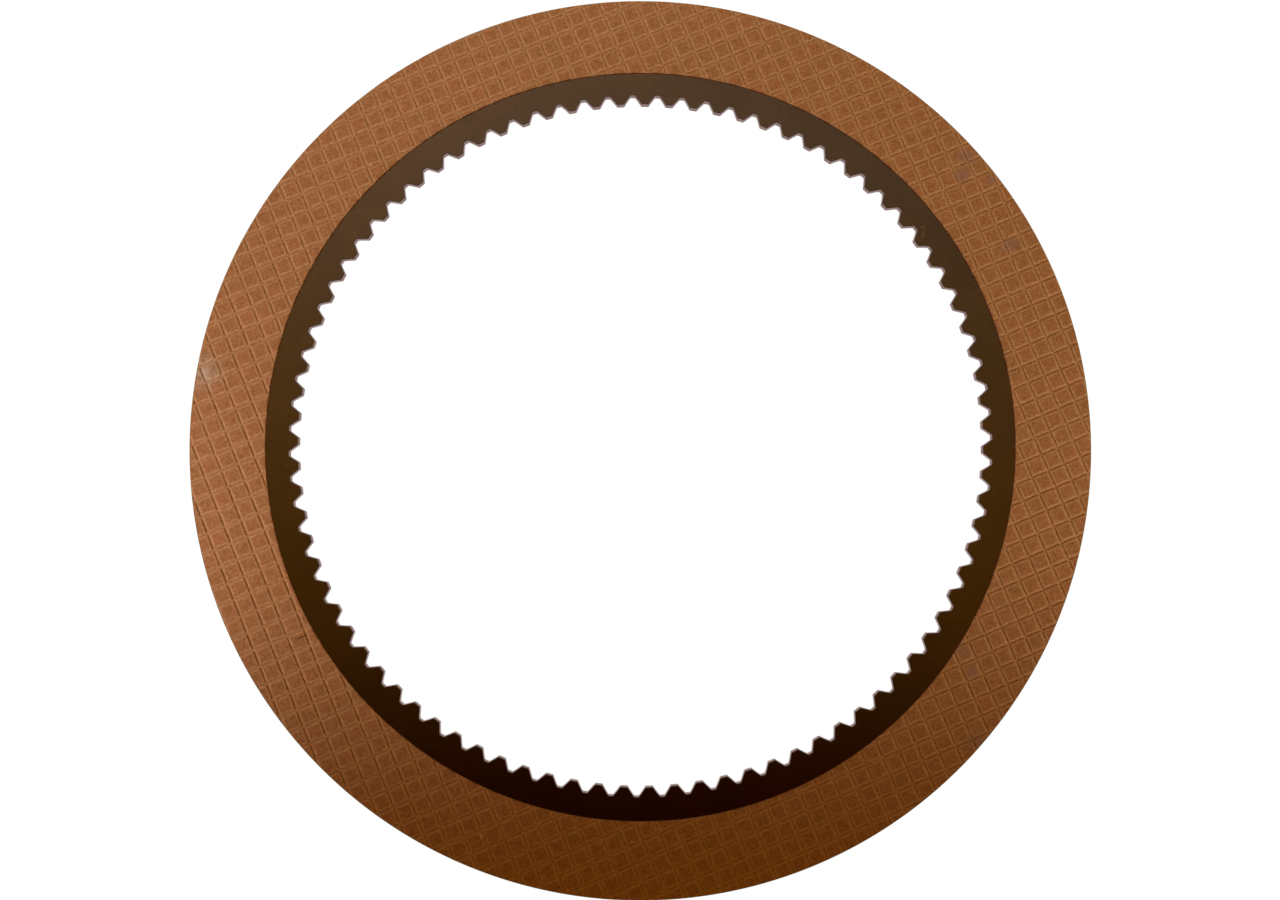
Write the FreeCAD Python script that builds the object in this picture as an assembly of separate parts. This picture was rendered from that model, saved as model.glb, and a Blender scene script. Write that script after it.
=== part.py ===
import FreeCAD, Part
import math
import os

# Wet brake disc: a splined steel core plate with a grooved friction facing bonded to each face.
# Millimetres. The origin is the centre of the disc at half its thickness, the disc axis is +Z,
# and +X passes through the middle of a gap between two spline teeth.

# Core plate: the bare land runs from the tooth roots out to the facing
core_thickness = 3.0
bare_land_width = 8.87
edge_break = 0.22

# Internal spline of the core plate
tooth_count = 87
spline_module = 3.0
flank_angle = 35.0
space_width = 4.53
tooth_tip_height = 1.5
tooth_root_depth = 2.03

# Friction facings: the step is the rim of the core plate that they leave bare
facing_width = 28.0
facing_thickness = 1.0
facing_step = 0.6
facing_sides = 120

# Waffle grooves pressed into the front facing
groove_pitch = 6.66
groove_width = 1.75
groove_depth = 0.45
groove_turn = 22.4
crossing_angle = 90.0
first_groove_shift = 3.17
second_groove_shift = 2.62

# Places worked out from the sizes above
pitch_radius = spline_module * tooth_count / 2
facing_inner_radius = pitch_radius + tooth_root_depth + bare_land_width
facing_outer_radius = facing_inner_radius + facing_width
core_radius = facing_outer_radius + facing_step
core_top = core_thickness / 2

disc_axis = FreeCAD.Vector(0, 0, 1)
centre = FreeCAD.Vector(0, 0, 0)


def polar(radius, angle, height):
    return FreeCAD.Vector(radius * math.cos(angle), radius * math.sin(angle), height)


def gap_half_angle(radius, widening):
    """Half of the angle that a tooth gap spans at a radius.

    Its flanks are involutes that lean at the flank angle on the pitch circle, and the widening moves each
    of them outwards, square to itself."""
    pressure = math.radians(flank_angle)
    base_radius = pitch_radius * math.cos(pressure)
    local_pressure = math.acos(base_radius / radius)
    involute_at_pitch = math.tan(pressure) - pressure
    involute_here = math.tan(local_pressure) - local_pressure
    return space_width / 2 / pitch_radius + widening / base_radius + involute_at_pitch - involute_here


def spline_outline(height, widening):
    """Closed outline of the bore: at each gap two flanks and a flat root, and between gaps a flat tooth tip."""
    tip_radius = pitch_radius - tooth_tip_height + widening
    root_radius = pitch_radius + tooth_root_depth + widening
    tip_half = gap_half_angle(tip_radius, widening)
    root_half = gap_half_angle(root_radius, widening)
    corners = []
    for gap in range(tooth_count):
        middle = 2 * math.pi * gap / tooth_count
        corners.append(polar(tip_radius, middle - tip_half, height))
        corners.append(polar(root_radius, middle - root_half, height))
        corners.append(polar(root_radius, middle + root_half, height))
        corners.append(polar(tip_radius, middle + tip_half, height))
    return Part.makePolygon(corners + corners[:1])


def core_plate():
    """Stamped ring with internal spline teeth, every edge of its front face broken."""
    blank = Part.makeCylinder(core_radius, core_thickness, FreeCAD.Vector(0, 0, -core_top))
    rim = [edge for edge in blank.Edges if edge.BoundBox.ZMin > core_top - edge_break]
    blank = blank.makeChamfer(edge_break, rim)
    bore = Part.Face(spline_outline(-core_top, 0)).extrude(disc_axis * core_thickness)
    throat = spline_outline(core_top - edge_break, 0)
    mouth = spline_outline(core_top, edge_break)
    return blank.cut(bore).cut(Part.makeLoft([throat, mouth], True, True))


def many_sided(radius, bottom):
    """Prism as thick as a facing. Hundreds of grooves run out through its sides, so they are flat and short."""
    corners = [polar(radius, 2 * math.pi * side / facing_sides, bottom) for side in range(facing_sides)]
    return Part.Face(Part.makePolygon(corners + corners[:1])).extrude(disc_axis * facing_thickness)


def facing_ring(bottom):
    return many_sided(facing_outer_radius, bottom).cut(many_sided(facing_inner_radius, bottom))


def grooved_plate(bottom, shift, turn):
    """Plate wider than a facing with parallel V grooves across its top, turned about the disc axis."""
    top = bottom + facing_thickness
    reach = facing_outer_radius + groove_pitch
    first = math.ceil((-facing_outer_radius - shift) / groove_pitch)
    last = math.floor((facing_outer_radius - shift) / groove_pitch)
    profile = [(reach, top), (reach, bottom), (-reach, bottom), (-reach, top)]
    for line in range(first, last + 1):
        valley = groove_pitch * line + shift
        profile.append((valley - groove_width / 2, top))
        profile.append((valley, top - groove_depth))
        profile.append((valley + groove_width / 2, top))
    points = [FreeCAD.Vector(across, -reach, height) for across, height in profile]
    plate = Part.Face(Part.makePolygon(points + points[:1])).extrude(FreeCAD.Vector(0, 2 * reach, 0))
    plate.rotate(centre, disc_axis, turn)
    return plate


def front_facing():
    """Lining ring under two crossing sets of grooves, which leave square lands between them."""
    along = grooved_plate(core_top, first_groove_shift, groove_turn)
    across = grooved_plate(core_top, second_groove_shift, groove_turn + crossing_angle)
    return facing_ring(core_top).common(along).common(across)


def rear_facing():
    return facing_ring(-core_top - facing_thickness)


os.makedirs("parts", exist_ok=True)
core_plate().exportStep("parts/core_plate.step")
front_facing().exportStep("parts/front_facing.step")
rear_facing().exportStep("parts/rear_facing.step")
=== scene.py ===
import math

import bpy
import numpy as np
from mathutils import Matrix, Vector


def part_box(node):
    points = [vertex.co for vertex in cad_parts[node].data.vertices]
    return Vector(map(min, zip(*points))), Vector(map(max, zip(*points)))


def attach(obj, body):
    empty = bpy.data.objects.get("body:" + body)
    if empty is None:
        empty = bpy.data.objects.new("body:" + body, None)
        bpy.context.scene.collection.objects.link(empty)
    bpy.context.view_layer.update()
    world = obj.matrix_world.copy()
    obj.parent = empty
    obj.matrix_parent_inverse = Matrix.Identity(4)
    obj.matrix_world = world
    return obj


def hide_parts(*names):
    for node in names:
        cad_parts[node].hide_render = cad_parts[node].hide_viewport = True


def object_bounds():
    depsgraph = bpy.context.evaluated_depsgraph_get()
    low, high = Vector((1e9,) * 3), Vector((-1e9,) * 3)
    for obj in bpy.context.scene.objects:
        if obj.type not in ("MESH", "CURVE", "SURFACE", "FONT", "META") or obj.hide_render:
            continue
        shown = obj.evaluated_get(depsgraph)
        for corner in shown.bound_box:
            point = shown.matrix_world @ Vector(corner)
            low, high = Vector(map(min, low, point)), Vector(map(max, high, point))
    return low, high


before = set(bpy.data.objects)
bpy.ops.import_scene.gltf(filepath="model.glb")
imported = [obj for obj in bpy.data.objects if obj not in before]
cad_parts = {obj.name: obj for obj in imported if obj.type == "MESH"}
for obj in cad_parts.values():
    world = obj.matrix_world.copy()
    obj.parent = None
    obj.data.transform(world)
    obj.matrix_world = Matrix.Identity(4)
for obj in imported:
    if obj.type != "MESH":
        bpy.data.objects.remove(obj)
cad_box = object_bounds()


# Camera
# The disc lies flat and is seen from almost straight above, and it fills the picture from top to bottom.
# The lens stands a little to the viewer's side of the disc's axis and leans back to look at its middle.
MM = 0.001
lens_place = (-1.84 * MM, -33.72 * MM, 435.12 * MM)
lens_turn = (math.radians(3.896), math.radians(-0.175), math.radians(-0.331))
lens_length = 32.456
sensor_width = 36.0
nearest_seen = 0.01

camera_data = bpy.data.cameras.new("camera")
camera_data.sensor_width = sensor_width
camera_data.lens = lens_length
camera_data.clip_start = nearest_seen
camera = bpy.data.objects.new("camera", camera_data)
camera.location = lens_place
camera.rotation_euler = lens_turn
bpy.context.scene.collection.objects.link(camera)
bpy.context.scene.camera = camera


# Core plate
# One flat ring stamped from sheet steel, with 87 spline teeth round its bore, browned by heat and oil.
# The punch rolls its front edges in, shears the walls of the teeth bright and tears their lowest third.
core_low, core_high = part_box("core_plate")
core_radius = min(core_high.x, core_high.y, -core_low.x, -core_low.y)
tooth_count = 87
pitch_radius = 130.5 * MM
tooth_tip_height = 1.5 * MM
tooth_root_depth = 2.03 * MM
gap_width = 4.53 * MM
flank_lean = math.radians(35)
corner_softness = 0.15 * MM
die_roll = 0.22 * MM
lower_lip = 0.05 * MM
tear_depth = 0.04 * MM
torn_share = 1 / 3
steps_per_tooth = 35
edge_rows = 5
wall_rows = 5
rim_rows = 4
sharp_angle = math.radians(40)
steel_relief = 0.008 * MM

# How bare the steel is, from browned over sheared to rubbed bright
browned, foot_edge, rolled_edge, sheared, rim_wall, rubbed = 0, 0.5, 0.9, 1, 1.2, 2

# Marks on the front face: x, y, half length and half width in millimetres, and turn
pale_marks = (
    (108.2, 80.4, 1.4, 0.5, -0.3),
    (108.2, 77.6, 2.6, 0.5, 1.3),
    (-133.4, -8.9, 0.8, 0.4, 1.1),
)
dark_marks = (
    (126.6, 60.9, 1.5, 0.5, -0.3),
    (127.0, 56.9, 1.2, 0.6, 0.5),
)
mark_depth = 3


def bore_outline(steps):
    """Points round the bore and the unit normals there that point into the metal.

    In each pitch the radius drops along a straight flank with the distance from the middle of the gap. A
    soft lesser-of with the root radius and a soft greater-of with the tip radius hold it between root and
    tip, where soft means that a square root rounds the corner."""
    turn = np.linspace(0, 2 * math.pi, steps, endpoint=False)
    pitches = turn * tooth_count / (2 * math.pi)
    from_gap = np.abs(pitches - np.round(pitches)) * 2 * math.pi * pitch_radius / tooth_count
    flank = pitch_radius + (gap_width / 2 - from_gap) / math.tan(flank_lean)
    root = pitch_radius + tooth_root_depth
    tip = pitch_radius - tooth_tip_height
    radius = (flank + root - np.hypot(flank - root, corner_softness)) / 2
    radius = (radius + tip + np.hypot(radius - tip, corner_softness)) / 2
    points = np.stack([radius * np.cos(turn), radius * np.sin(turn)], 1)
    along = np.roll(points, -1, 0) - np.roll(points, 1, 0)
    normals = np.stack([along[:, 1], -along[:, 0]], 1) / np.linalg.norm(along, axis=1)[:, None]
    return points, normals


def band(reach, inset, height, bare):
    """Rows of a section: how far from bore (0) to rim (1), inset from the edge, height, and how bare."""
    return np.stack(np.broadcast_arrays(*np.atleast_1d(reach, inset, height, bare)), 1).astype(float)


def plate_section():
    """Closed section of the plate, from the foot of the bore wall over the front face and rim and back below.

    The upper edges are quarter circles of the die roll, and the torn share of the bore wall leans back."""
    low, high = core_low.z, core_high.z
    quarter = np.linspace(0, math.pi / 2, edge_rows)
    wall = np.linspace(low + lower_lip, high - die_roll, wall_rows)
    torn = tear_depth * np.clip(1 - (wall - low) / (high - low) / torn_share, 0, 1)
    bore_inset = die_roll * (1 - np.cos(quarter[1:]))
    bore_height = high - die_roll * (1 - np.sin(quarter[1:]))
    face = np.array([0.01, 0.25, 0.5, 0.75, 0.985])
    face_bare = np.array([browned, browned, browned, browned, rubbed])
    rim = np.linspace(high - die_roll, low + lower_lip, rim_rows)[1:]
    return np.concatenate([
        band(0, torn, wall, sheared),
        band(0, bore_inset, bore_height, rolled_edge),
        band(face, die_roll, high, face_bare),
        band(1, die_roll * (1 - np.sin(quarter)), high - die_roll * (1 - np.cos(quarter)), rubbed),
        band(1, 0, rim, rim_wall),
        band(1, lower_lip, low, sheared),
        band(face[::-1], lower_lip, low, browned),
        band(0, lower_lip, low, foot_edge),
    ])


def closed_grid(name, points):
    """Mesh of a surface that closes on itself both ways: one quad between each four neighbouring points."""
    around, across = points.shape[:2]
    place = np.arange(around * across).reshape(around, across)
    onward = np.roll(place, -1, 0)
    quads = np.stack([place, np.roll(place, -1, 1), np.roll(onward, -1, 1), onward], -1).reshape(-1, 4)
    mesh = bpy.data.meshes.new(name)
    mesh.from_pydata(points.reshape(-1, 3).tolist(), [], quads.tolist())
    return mesh


def add_reading(mesh, name, values):
    """Keeps one number for each vertex, which a material can read by that name."""
    mesh.attributes.new(name, "FLOAT", "POINT").data.foreach_set("value", np.asarray(values, np.float32))


def place_piece(mesh, node):
    """Puts a finished mesh into the scene at the origin, in place of the solid that it stands for."""
    mesh.update()
    mesh.shade_smooth()
    mesh.set_sharp_from_angle(angle=sharp_angle)
    piece = bpy.data.objects.new(mesh.name, mesh)
    bpy.context.scene.collection.objects.link(piece)
    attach(piece, "root")
    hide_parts(node)
    return piece


outline, outline_normals = bore_outline(tooth_count * steps_per_tooth)
reach, inset, height, bare = plate_section().T
outward = outline / np.linalg.norm(outline, axis=1)[:, None]
from_bore = outline[:, None, :] + outline_normals[:, None, :] * inset[None, :, None]
from_rim = outward[:, None, :] * (core_radius - inset)[None, :, None]
flat = from_bore * (1 - reach)[None, :, None] + from_rim * reach[None, :, None]
level = np.broadcast_to(height[None, :, None], flat.shape[:2] + (1,))
core_mesh = closed_grid("core_ring", np.concatenate([flat, level], 2))
add_reading(core_mesh, "bare_steel", np.tile(bare, len(outline)))
core_ring = place_piece(core_mesh, "core_plate")


class Field:
    """A quantity that varies over a surface, as a shader socket that takes part in arithmetic."""

    def __init__(self, graph, socket):
        self.graph = graph
        self.socket = socket

    def math(self, operation, *terms):
        return self.graph.node("ShaderNodeMath", {"operation": operation}, dict(enumerate(terms)))

    def __add__(self, other):
        return self.math("ADD", self, other)

    def __sub__(self, other):
        return self.math("SUBTRACT", self, other)

    def __rsub__(self, other):
        return self.math("SUBTRACT", other, self)

    def __mul__(self, other):
        return self.math("MULTIPLY", self, other)

    __radd__ = __add__
    __rmul__ = __mul__

    def __abs__(self):
        return self.math("ABSOLUTE", self)

    def __or__(self, other):
        """The greater of the two."""
        return self.math("MAXIMUM", self, other)

    def nearest(self):
        """The nearest whole number."""
        return self.math("ROUND", self)

    def step(self, start, end):
        """0 at start, 1 at end and beyond, and a smooth rise between them."""
        sockets = {"Value": self, "From Min": start, "From Max": end}
        return self.graph.node("ShaderNodeMapRange", {"interpolation_type": "SMOOTHSTEP"}, sockets)


class Graph:
    """A node tree, built from one kind of call that adds a node and gives back its output."""

    def __init__(self, tree):
        self.tree = tree

    def node(self, kind, settings, sockets, output=0):
        made = self.tree.nodes.new(kind)
        for name, value in settings.items():
            setattr(made, name, value)
        for name, value in sockets.items():
            self.feed(made.inputs[name], value)
        return Field(self, made.outputs[output])

    def feed(self, socket, value):
        if isinstance(value, Field):
            self.tree.links.new(value.socket, socket)
        else:
            socket.default_value = value

    def mix(self, share, first, second):
        return self.node("ShaderNodeMix", {"data_type": "RGBA"}, {0: share, 6: first, 7: second}, 2)

    def split(self, vector, axis):
        return self.node("ShaderNodeSeparateXYZ", {}, {"Vector": vector}, axis)

    def scaled(self, vector, factor):
        return self.node("ShaderNodeVectorMath", {"operation": "SCALE"}, {0: vector, "Scale": factor})


class Finish(Graph):
    """A procedural material round one principled shader, whose plain values are given by name."""

    def __init__(self, name, **constants):
        self.material = bpy.data.materials.new(name)
        self.material.use_nodes = True
        super().__init__(self.material.node_tree)
        self.surface = self.tree.nodes["Principled BSDF"]
        for socket, value in constants.items():
            self.surface.inputs[socket.replace("_", " ")].default_value = value

    def place(self):
        """Where a point of the piece lies, in millimetres."""
        here = self.node("ShaderNodeTexCoord", {}, {}, "Object")
        return self.stretch(here, (1 / MM, 1 / MM, 1 / MM))

    def stretch(self, place, factors):
        """The same place with its axes drawn out, for grain and fibres."""
        return self.node("ShaderNodeVectorMath", {"operation": "MULTIPLY"}, {0: place, 1: factors})

    def turned(self, place, angle):
        """The same place turned about the disc's axis."""
        settings = {"rotation_type": "Z_AXIS"}
        return self.node("ShaderNodeVectorRotate", settings, {"Vector": place, "Angle": angle})

    def noise(self, place, scale, detail=2.0, roughness=0.5):
        sockets = {"Vector": place, "Scale": scale, "Detail": detail, "Roughness": roughness}
        return self.node("ShaderNodeTexNoise", {}, sockets)

    def marked(self, colour, place, face, marks, share, mark_colour):
        """A colour with marks on it that take a share of another one, on the face at that height.

        Each is an oval that fades out from its middle. It fades out up and down too, so the far face
        stays clear of it."""
        for x, y, length, width, turn in marks:
            sockets = {"Vector": place, "Location": (x, y, face), "Rotation": (0, 0, turn)}
            sockets["Scale"] = (length, width, mark_depth)
            oval = self.node("ShaderNodeMapping", {"vector_type": "TEXTURE"}, sockets)
            away = self.node("ShaderNodeVectorMath", {"operation": "LENGTH"}, {0: oval}, "Value")
            colour = self.mix((1 - away.step(0, 1)) * share, colour, mark_colour)
        return colour

    def reading(self, name):
        return self.node("ShaderNodeAttribute", {"attribute_name": name}, {}, "Fac")

    def bump(self, height, distance):
        normal = self.node("ShaderNodeBump", {}, {"Height": height, "Distance": distance}, "Normal")
        self.set("Normal", normal)

    def set(self, socket, value):
        self.feed(self.surface.inputs[socket], value)


def paint(red, green, blue):
    """Shader colour from the 0 to 255 values of a swatch, by the screen's power law."""
    swatch = np.array([red, green, blue]) / 255
    linear = np.where(swatch <= 0.04045, swatch / 12.92, ((swatch + 0.055) / 1.055) ** 2.4)
    return (*linear.tolist(), 1.0)


def browned_steel():
    """Steel sheet browned by heat and oil, with faint rolling grain, a few pale scratches and dark flecks.

    It is paler where the punch sheared it, and brighter still at the rim, which is rubbed bare."""
    finish = Finish("browned_steel", Metallic=1.0, Specular_Tint=(0.7, 0.62, 0.62, 1))
    place = finish.place()
    cloud = finish.noise(place, 0.045, 3.0)
    mottle = finish.noise(place, 0.6, 4.0, 0.6)
    grain = finish.noise(finish.stretch(place, (0.25, 6.0, 1.0)), 1.0, 3.0, 0.6)
    face = finish.mix(cloud.step(0.35, 0.65), paint(142, 110, 82), paint(150, 116, 84))
    face = finish.mix(mottle.step(0.3, 0.75) * 0.3, face, paint(124, 94, 70))
    face_height = core_high.z / MM
    face = finish.marked(face, place, face_height, pale_marks, 0.5, paint(226, 200, 150))
    face = finish.marked(face, place, face_height, dark_marks, 0.7, paint(70, 50, 40))
    wall = finish.mix(mottle.step(0.3, 0.7), paint(152, 130, 126), paint(124, 108, 104))
    bare = finish.reading("bare_steel")
    steel = finish.mix(bare.step(browned, sheared), face, wall)
    finish.set("Base Color", finish.mix(bare.step(sheared, rubbed), steel, paint(186, 180, 152)))
    finish.set("Roughness", 0.09 + mottle * 0.08 + grain * 0.05)
    finish.bump(grain * 0.5 + mottle, steel_relief)
    return finish.material


core_ring.data.materials.append(browned_steel())


# Friction facings
# Rings punched from resin-bonded friction paper and bonded to both faces of the core plate.
# A waffle plate has pressed two crossing sets of oil grooves into them, which leaves square lands.
groove_pitch = 6.66 * MM
groove_reach = 1.15 * MM
shoulder_lines = (0.65 * MM, 0.9 * MM)
trench_foot = 0.34 * MM
trench_mouth = 0.45 * MM
groove_depth = 0.45 * MM
shoulder_share = 0.4
groove_turn = math.radians(22.4)
groove_shift = (3.4 * MM, 2.98 * MM)
facing_width = 28.0 * MM
press_unevenness = 0.2
land_unevenness = 0.02 * MM
paper_relief = 0.03 * MM

# Marks on the front facing, given as those on the core plate are
haze = ((-165.0, 26.0, 11, 10, 0),)
purple_patches = (
    (125.5, 107.5, 6, 5, 0),
    (123.5, 100.5, 6, 4, 0.3),
    (134.5, 98.5, 3, 3, 0),
    (141.2, 73.5, 6, 4, 0.2),
    (119.5, -79.5, 5, 4, 0.2),
    (122.5, -88, 4, 4, 0),
    (122.3, -113, 7, 5, 0.4),
)
pink_fleck = ((-59.4, -146.2, 1.6, 1.0, 1.5),)
dark_line = ((-126.6, -73.2, 3.6, 0.5, 0.4),)


def press_lines(outer, shift):
    """Grid lines across one set of grooves: close together over each groove and wide apart on the lands."""
    half = np.array([0, trench_foot, trench_mouth, *shoulder_lines, groove_reach])
    land = [groove_pitch / 2]
    count = math.ceil(outer / groove_pitch) + 1
    pitches = np.arange(-count, count + 1) * groove_pitch + shift
    return (pitches[:, None] + np.concatenate([-half[:0:-1], half, land])[None, :]).ravel()


def smooth_noise(x, y, cell, seed):
    """Random heights from 0 to 1 on a square lattice of the cell size, blended smoothly between them."""
    size = 128
    lattice = np.random.default_rng(seed).random((size, size))
    column, row = np.floor(x / cell), np.floor(y / cell)
    u, v = x / cell - column, y / cell - row
    u, v = u * u * (3 - 2 * u), v * v * (3 - 2 * v)
    column, row = column.astype(int) % size, row.astype(int) % size
    right, above = (column + 1) % size, (row + 1) % size
    low = lattice[column, row] * (1 - u) + lattice[right, row] * u
    high = lattice[column, above] * (1 - u) + lattice[right, above] * u
    return low * (1 - v) + high * v


def pressed_depth(s, t, seed):
    """How deep the press has pushed the open face in.

    Across a groove the depth is the sum of a shallow raised cosine of the distance from its middle line
    and a narrow trench with a flat bottom and straight walls. It is a little weaker or stronger from place
    to place, and where two grooves cross the deeper one counts. The lands between are a few hundredths of
    a millimetre uneven."""
    depths = []
    for across, along, shift, line_seed in ((s, t, groove_shift[0], seed), (t, s, groove_shift[1], seed + 1)):
        line = np.round((across - shift) / groove_pitch)
        off = np.abs(across - shift - line * groove_pitch)
        hold = smooth_noise(along, line * groove_pitch, groove_pitch, line_seed)
        strength = 1 - press_unevenness + press_unevenness * hold
        shoulder = (1 + np.cos(math.pi * np.clip(off / groove_reach, 0, 1))) / 2
        trench = np.clip((trench_mouth - off) / (trench_mouth - trench_foot), 0, 1)
        depths.append(groove_depth * strength * (shoulder_share * shoulder + (1 - shoulder_share) * trench))
    return np.maximum(*depths) + land_unevenness * smooth_noise(s, t, groove_pitch, seed + 2)


def cut_grid(lines_s, lines_t, inner, outer):
    """A square grid cut to a flat ring: points, faces, and the points on each rim in order of angle.

    Grid edges that cross a rim circle get a point there, by the circle's square-root formula, and each cell
    keeps its corners inside the ring and the crossings on its edges, in order round the cell."""
    s, t = np.meshgrid(lines_s, lines_t, indexing="ij")
    distance = np.hypot(s, t)
    inside = (distance > inner) & (distance < outer)
    place = np.arange(s.size).reshape(s.shape)

    def crossings(first, second, across, along):
        cut = inside[first] != inside[second]
        beyond = np.where(inside[first], distance[second], distance[first])[cut]
        radius = np.where(beyond >= outer, outer, inner)
        start, end, other = across[first][cut], across[second][cut], along[first][cut]
        root = np.sqrt(np.maximum(radius ** 2 - other ** 2, 0))
        root = np.where((root >= start) & (root <= end), root, -root)
        return cut, root, other, radius

    earlier, later, whole = slice(None, -1), slice(1, None), slice(None)
    cut_s, new_s, kept_t, radius_s = crossings((earlier, whole), (later, whole), s, t)
    cut_t, new_t, kept_s, radius_t = crossings((whole, earlier), (whole, later), t, s)
    number_s = np.zeros(cut_s.shape, int)
    number_s[cut_s] = s.size + np.arange(len(new_s))
    number_t = np.zeros(cut_t.shape, int)
    number_t[cut_t] = s.size + len(new_s) + np.arange(len(new_t))
    every_s = np.concatenate([s.ravel(), new_s, kept_s])
    every_t = np.concatenate([t.ravel(), kept_t, new_t])
    around = [
        place[:-1, :-1], number_s[:, :-1], place[1:, :-1], number_t[1:, :],
        place[1:, 1:], number_s[:, 1:], place[:-1, 1:], number_t[:-1, :],
    ]
    kept = [
        inside[:-1, :-1], cut_s[:, :-1], inside[1:, :-1], cut_t[1:, :],
        inside[1:, 1:], cut_s[:, 1:], inside[:-1, 1:], cut_t[:-1, :],
    ]
    around = np.stack(around, -1).reshape(-1, len(around))
    kept = np.stack(kept, -1).reshape(-1, len(kept))
    counts = kept.sum(1)
    used = counts > 2
    flat_list, counts = around[used][kept[used]], counts[used]
    wanted, flat_list = np.unique(flat_list, return_inverse=True)
    points = np.stack([every_s, every_t], 1)[wanted]
    faces = np.split(flat_list, np.cumsum(counts)[:-1])
    is_rim = wanted >= s.size
    rim_radius = np.concatenate([np.zeros(s.size), radius_s, radius_t])[wanted]
    angle = np.arctan2(points[:, 1], points[:, 0])
    rims = []
    for radius in (inner, outer):
        members = np.flatnonzero(is_rim & (rim_radius == radius))
        rims.append(members[np.argsort(angle[members])])
    return points, faces, rims


def bridge(inner, outer, inner_angle, outer_angle):
    """Triangles between two rings of points: in order of angle, each closes one with the two before it."""
    is_outer = np.argsort(np.concatenate([inner_angle, outer_angle]), kind="stable") >= len(inner)
    here_inner = (np.cumsum(~is_outer) - 1) % len(inner)
    here_outer = (np.cumsum(is_outer) - 1) % len(outer)
    first = np.where(is_outer, inner[here_inner], inner[here_inner - 1])
    middle = np.where(is_outer, outer[here_outer - 1], outer[here_outer])
    last = np.where(is_outer, outer[here_outer], inner[here_inner])
    return np.stack([first, middle, last], 1)


def friction_ring(name, node, side, seed):
    """One facing, worked out as it lies on the front of the plate, with s and t square to the grooves.

    The rear one, of side -1, is then turned over about the X axis."""
    low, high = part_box(node)
    outer = min(high.x, high.y)
    inner = outer - facing_width
    thickness = high.z - low.z
    lines = [press_lines(outer, shift) for shift in groove_shift]
    points, faces, rims = cut_grid(*lines, inner, outer)
    s, t = points.T
    depth = np.minimum(pressed_depth(s, t, seed), groove_depth)
    x = s * math.cos(groove_turn) - t * math.sin(groove_turn)
    y = s * math.sin(groove_turn) + t * math.cos(groove_turn)
    open_face = np.stack([x, y, thickness - depth], 1)
    feet = [open_face[rim] * (1, 1, 0) for rim in rims]
    vertices = np.concatenate([open_face, *feet])
    vertices = vertices * (1, side, side) + (0, 0, low.z if side > 0 else high.z)
    ground = np.split(np.arange(len(open_face), len(vertices)), [len(rims[0])])
    inner_wall = np.stack([rims[0], np.roll(rims[0], -1), np.roll(ground[0], -1), ground[0]], 1)
    outer_wall = np.stack([ground[1], np.roll(ground[1], -1), np.roll(rims[1], -1), rims[1]], 1)
    bonded_face = bridge(ground[0], ground[1], *[np.arctan2(t[rim], s[rim]) for rim in rims])[:, ::-1]
    polygons = faces + [*inner_wall, *outer_wall, *bonded_face]
    mesh = bpy.data.meshes.new(name)
    mesh.from_pydata(vertices.tolist(), [], [polygon.tolist() for polygon in polygons])
    pattern = np.stack([(s - groove_shift[0]) / groove_pitch, (t - groove_shift[1]) / groove_pitch], 1)
    pattern = np.concatenate([pattern, pattern[np.concatenate(rims)]])
    corners = np.concatenate([np.asarray(polygon) for polygon in polygons])
    mesh.uv_layers.new(name="grooves").uv.foreach_set("vector", pattern[corners].astype(np.float32).ravel())
    return place_piece(mesh, node)


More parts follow.
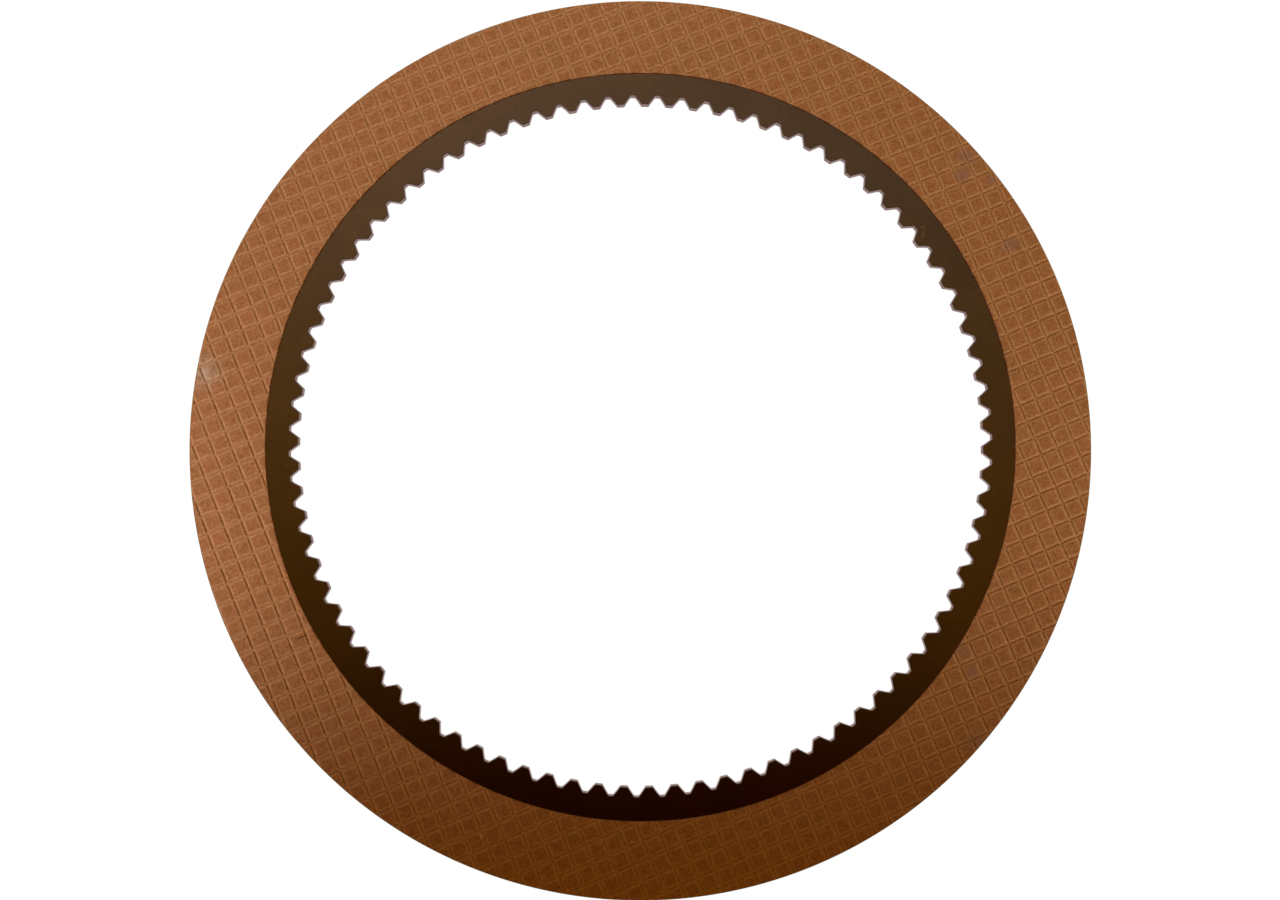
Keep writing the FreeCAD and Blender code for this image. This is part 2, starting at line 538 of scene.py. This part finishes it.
def friction_paper():
    """Resin-bonded friction paper: matted fibres, and brown lands with a fine mottle and redder patches.

    The pattern map counts groove pitches, so a groove runs wherever one of its values is whole. The paper
    is paler over the whole width of a groove. A faint darker line of painted shade runs along its middle,
    standing in for the shade deep in the groove, and stops where another groove crosses and light gets in."""
    finish = Finish("friction_paper", Specular_IOR_Level=0.15)
    place = finish.place()
    pattern = finish.node("ShaderNodeUVMap", {"uv_map": "grooves"}, {})
    wander = (finish.noise(place, 0.35, 2.0) - 0.5) * 0.05
    # dark holds the middle line of each groove, where shade is painted into the colour below
    pale, dark = [], []
    for axis in (0, 1):
        pitches = finish.split(pattern, axis)
        off = abs(pitches - pitches.nearest() + wander) * (groove_pitch / MM)
        pale.append(1 - off.step(0.8, 1.4))
        dark.append(1 - off.step(0.2, 0.6))
    painted_crease_shade = (dark[0] * (1 - pale[1])) | (dark[1] * (1 - pale[0]))
    land = finish.node("ShaderNodeVectorMath", {"operation": "FLOOR"}, {0: pattern})
    dice = finish.node("ShaderNodeTexWhiteNoise", {"noise_dimensions": "3D"}, {"Vector": land}, "Value")
    patch = finish.noise(place, 0.11, 3.0)
    mottle = finish.noise(place, 0.55, 4.0, 0.65)
    pulp = finish.noise(place, 1.5, 3.0, 0.7)
    grain = finish.noise(place, 1.1, 3.0, 0.75) - 0.5
    fibres = [finish.noise(finish.stretch(finish.turned(place, turn), (3.2, 0.5, 1.0)), 1.0, 2.0, 0.6)
              for turn in (0.2, 1.3, 2.4)]
    matted = (fibres[0] | fibres[1]) | fibres[2]
    redness = (patch * 0.9 + dice * 0.2 + mottle * 0.7).step(0.65, 1.15)
    lining = finish.mix(redness, paint(151, 98, 61), paint(157, 97, 63))
    lining = finish.mix(matted.step(0.55, 0.75) * 0.3, lining, paint(176, 120, 82))
    lining = finish.mix((pale[0] | pale[1]) * 0.8, lining, paint(178, 123, 84))
    # Painted shade: darker brown along the middle line of each groove stands in for the shade deep in it, and
    # stops where another groove crosses and light gets in
    lining = finish.mix(painted_crease_shade * 0.12, lining, paint(112, 66, 36))
    lining = finish.scaled(lining, 0.5 + 0.5 * mottle + 0.5 * pulp)
    speckle = {0: grain, 1: (0.24, 0.18, 0.13), 2: lining}
    lining = finish.node("ShaderNodeVectorMath", {"operation": "MULTIPLY_ADD"}, speckle)
    face_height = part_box("front_facing")[1].z / MM
    hazy = mottle.step(0.25, 0.7) * 0.7
    lining = finish.marked(lining, place, face_height, haze, hazy, paint(186, 158, 138))
    lining = finish.marked(lining, place, face_height, purple_patches, 0.5, paint(136, 100, 92))
    lining = finish.marked(lining, place, face_height, pink_fleck, 0.7, paint(214, 160, 150))
    lining = finish.marked(lining, place, face_height, dark_line, 1, paint(70, 36, 16))
    finish.set("Base Color", lining)
    finish.set("Roughness", 0.78 + pulp * 0.12)
    finish.bump(pulp * 0.5 + matted * 0.8 + mottle * 0.4, paper_relief)
    return finish.material


paper = friction_paper()
front_facing = friction_ring("front_lining", "front_facing", 1, 11)
front_facing.data.materials.append(paper)
rear_facing = friction_ring("rear_lining", "rear_facing", -1, 23)
rear_facing.data.materials.append(paper)


# Floor
# A plain white sheet on which the rear facing rests. It glows to the eye so that it stays white, and
# still keeps a share of the disc's soft shadow.
floor_reach = 4.0
floor_gap = 0.02 * MM
floor_level = cad_box[0][2] - floor_gap
shadow_share = 0.06
sheet_glow = 1.06
floor_mesh = bpy.data.meshes.new("floor")
corners = [(-floor_reach, -floor_reach), (floor_reach, -floor_reach),
           (floor_reach, floor_reach), (-floor_reach, floor_reach)]
floor_mesh.from_pydata([(x, y, floor_level) for x, y in corners], [], [(0, 1, 2, 3)])
floor = bpy.data.objects.new("floor", floor_mesh)
bpy.context.scene.collection.objects.link(floor)


def seen_rays(graph):
    """1 for rays that reach the eye straight, by a reflection or through glass, and 0 for all others."""
    outputs = ("Is Camera Ray", "Is Glossy Ray", "Is Transmission Ray")
    kinds = [graph.node("ShaderNodeLightPath", {}, {}, output) for output in outputs]
    return (kinds[0] | kinds[1]) | kinds[2]


def white_sheet():
    """Matt white that glows plain white to the eye, apart from a share that shows light and shadow."""
    finish = Finish("white_sheet", Base_Color=(0.9, 0.9, 0.9, 1), Roughness=0.9)
    glow = finish.node("ShaderNodeEmission", {}, {"Color": (1, 1, 1, 1), "Strength": sheet_glow})
    matt = Field(finish, finish.surface.outputs[0])
    glowing = seen_rays(finish) * (1 - shadow_share)
    both = finish.node("ShaderNodeMixShader", {}, {0: glowing, 1: matt, 2: glow})
    finish.feed(finish.tree.nodes["Material Output"].inputs["Surface"], both)
    return finish.material


floor_mesh.materials.append(white_sheet())


# Light
# A plain studio with three soft lamps low round the disc, at its left, its right and its far side. They stop
# at a straight edge in front of the disc's middle, so the near part lies in warm shade. A small yellow
# panel at the far right isn't shaded, and the sky that the steel mirrors darkens towards the viewer.
shade_fade = 68 * MM
lamp_softness = 0.06
panel_size = 0.12


def round_disc(azimuth, distance, height):
    """A place so many degrees round the disc, so far from its axis and so high, in metres."""
    bearing = math.radians(azimuth)
    return np.array([distance * math.cos(bearing), distance * math.sin(bearing), height])


def add_lamp(light, place, axis, power, colour):
    """Puts a lamp at a place, pointing along an axis. It shows neither to the camera nor in the steel."""
    light.energy = power
    light.color = colour
    lamp = bpy.data.objects.new(light.name, light)
    lamp.location = place
    tilt = math.acos(-axis[2] / np.linalg.norm(axis))
    swing = math.atan2(axis[0], -axis[1]) + math.pi
    lamp.rotation_euler = (tilt, 0, swing)
    lamp.visible_camera = False
    lamp.visible_glossy = False
    bpy.context.scene.collection.objects.link(lamp)


def shaded_lamp(name, place, shade_edge, power, colour):
    """A soft lamp that lights only what lies beyond its shade edge, a line straight across the floor.

    Its cone is a half space whose plane runs through the lamp and the edge, so its axis is that plane's
    normal. The blend is the cosine at which the fade ends, which is the fade's width over its distance,
    foreshortened."""
    spot = bpy.data.lights.new(name, "SPOT")
    to_edge = np.array([0, shade_edge - place[1], -place[2]])
    axis = np.array([0, -to_edge[2], to_edge[1]]) / np.linalg.norm(to_edge)
    nearest = np.array([place[0] - math.copysign(core_radius, place[0]), to_edge[1], to_edge[2]])
    spot.spot_size = math.pi
    spot.spot_blend = min(1.0, shade_fade * axis[1] / np.linalg.norm(nearest))
    spot.shadow_soft_size = lamp_softness
    add_lamp(spot, place, axis, power, colour)


shaded_lamp("left_lamp", round_disc(200, 0.45, 0.15), -137 * MM, 7.55, (0.72, 0.815, 0.94))
shaded_lamp("right_lamp", round_disc(-26, 0.6, 0.2), -130 * MM, 9.77, (0.86, 1, 0.95))
shaded_lamp("far_lamp", round_disc(110, 0.35, 0.25), -134 * MM, 2.07, (0.8, 0.94, 1.05))

corner_panel = bpy.data.lights.new("corner_panel", "AREA")
corner_panel.size = panel_size
corner_place = round_disc(60, 0.35, 0.15)
add_lamp(corner_panel, corner_place, -corner_place, 0.07, (0.86, 0.95, 0.1))

world = bpy.data.worlds.new("studio")
bpy.context.scene.world = world
world.use_nodes = True
white = (1, 1, 1, 1)
ambient = (0.27, 0.157, 0.01, 1)
nearest_sky = (0.024, 0, 0, 1)
sky_bands = (
    (-0.23, -0.02, (0.155, 0.098, 0.018, 1)),
    (-0.07, 0.13, (0.215, 0.165, 0.068, 1)),
    (0.08, 0.38, (0.3, 0.29, 0.285, 1)),
)
room = Graph(world.node_tree)
direction = room.node("ShaderNodeTexCoord", {}, {}, "Generated")
sideways, forwards, upwards = [room.split(direction, axis) for axis in range(3)]
sky = nearest_sky
for start, end, colour in sky_bands:
    sky = room.mix(forwards.step(start, end), sky, colour)
sky = room.scaled(sky, 1 - 3 * sideways * forwards)
mirrored = room.mix(upwards.step(0.2, 0.55), white, sky)
camera_rays = room.node("ShaderNodeLightPath", {}, {}, "Is Camera Ray")
backdrop = room.mix(seen_rays(room), ambient, room.mix(camera_rays, mirrored, white))
room.feed(world.node_tree.nodes["Background"].inputs["Color"], backdrop)

bpy.context.scene.view_settings.view_transform = "Standard"
